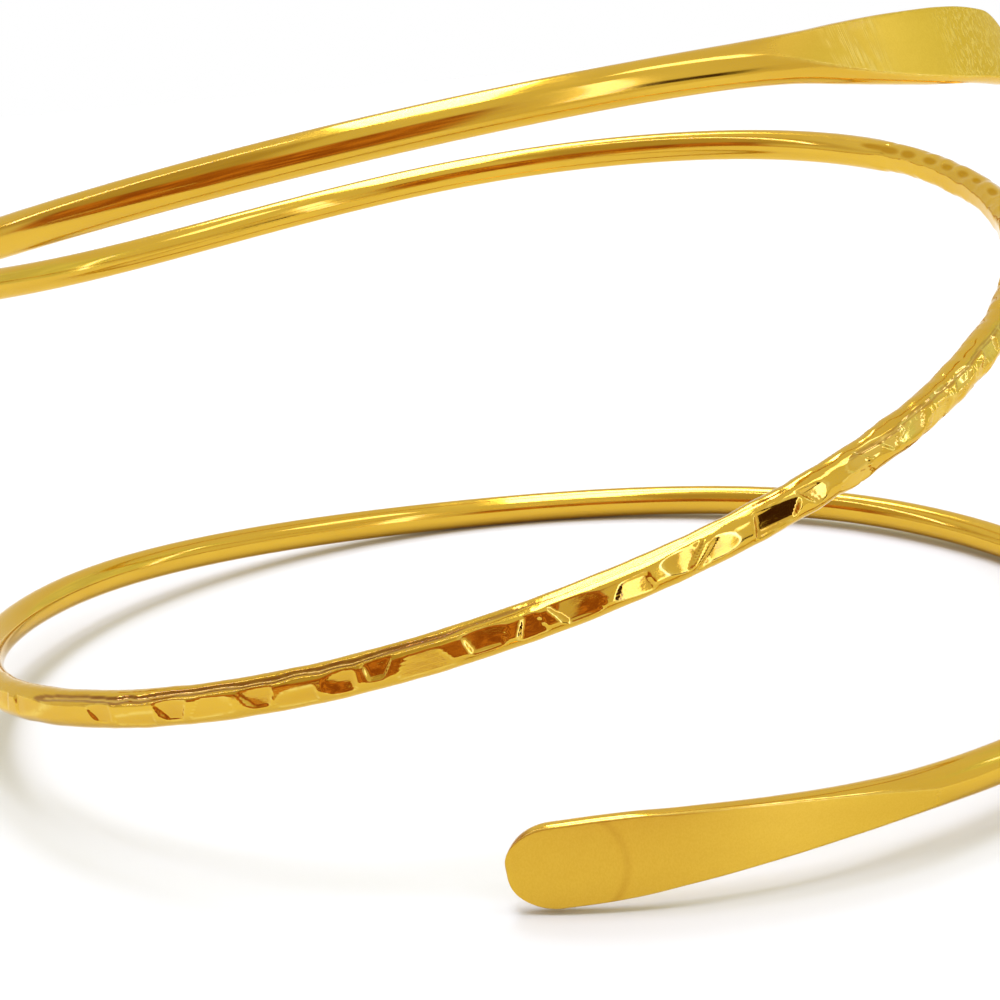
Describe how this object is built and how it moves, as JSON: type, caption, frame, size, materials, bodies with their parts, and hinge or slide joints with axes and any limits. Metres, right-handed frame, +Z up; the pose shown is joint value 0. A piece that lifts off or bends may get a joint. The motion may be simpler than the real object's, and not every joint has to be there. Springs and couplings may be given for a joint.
{
  "type": "spiral coil bracelet",
  "caption": "Open spiral cuff of one springy round gold-coloured wire that winds down the arm, hammered across the front, with both ends beaten to flat rounded paddles.",
  "frame": {"origin": "on the floor under the middle of the bounding box, the cuff standing as it rests by itself", "axes": "+Z up and roughly along the arm, -Y toward the side with the hammered stretch, +X toward the right as seen from that side"},
  "size_m": [0.0894, 0.0908, 0.0469],
  "materials": {
    "gold_metal": "polished wire with a hammered stretch and satin flat ends"
  },
  "bodies": {
    "root": {"coil_wire": "gold_metal"}
  },
  "joints": []
}
